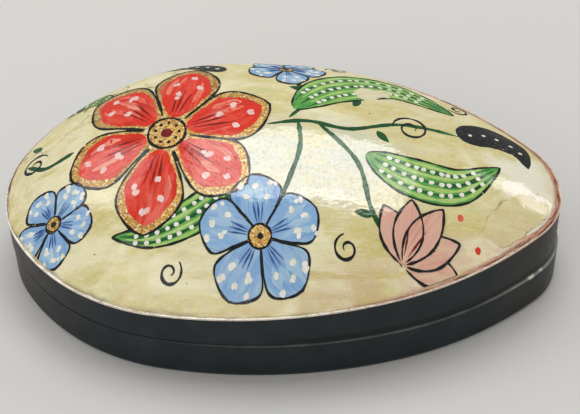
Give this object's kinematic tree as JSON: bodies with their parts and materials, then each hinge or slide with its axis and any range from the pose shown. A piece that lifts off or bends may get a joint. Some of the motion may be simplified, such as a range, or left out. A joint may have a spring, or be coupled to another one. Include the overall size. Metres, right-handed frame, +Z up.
{
  "type": "trinket box",
  "caption": "Egg-shaped black lacquered trinket box whose hinged lid carries a domed, polished mussel shell with painted decoration.",
  "frame": {"origin": "on the flat underside, in the middle of the outline's length and width", "axes": "+X along the length to the narrower end, +Y to the hinge at the back, +Z up"},
  "size_m": [0.1299, 0.0833, 0.0388],
  "materials": {
    "black_lacquer": "black lacquer, rubbed to a soft gloss",
    "nacre": "polished mother of pearl under clear lacquer",
    "hinge_brass": "dull, lightly tarnished"
  },
  "bodies": {
    "base": {"base_wall": "black_lacquer", "base_floor": "black_lacquer", "base_lip": "black_lacquer", "hinge_leaf_base": "hinge_brass", "hinge_pin": "hinge_brass", "base_leaf_nails": "hinge_brass"},
    "lid": {"lid_band": "black_lacquer", "lid_strip": "black_lacquer", "shell_valve": "nacre", "hinge_leaf_lid": "hinge_brass", "lid_leaf_nails": "hinge_brass"}
  },
  "joints": [
    {"name": "lid_hinge", "type": "hinge", "parent": "base", "child": "lid", "pos_m": [-0.00963, 0.04132, 0.0106], "axis": [-1, 0, 0], "range_deg": [0, 138]}
  ]
}
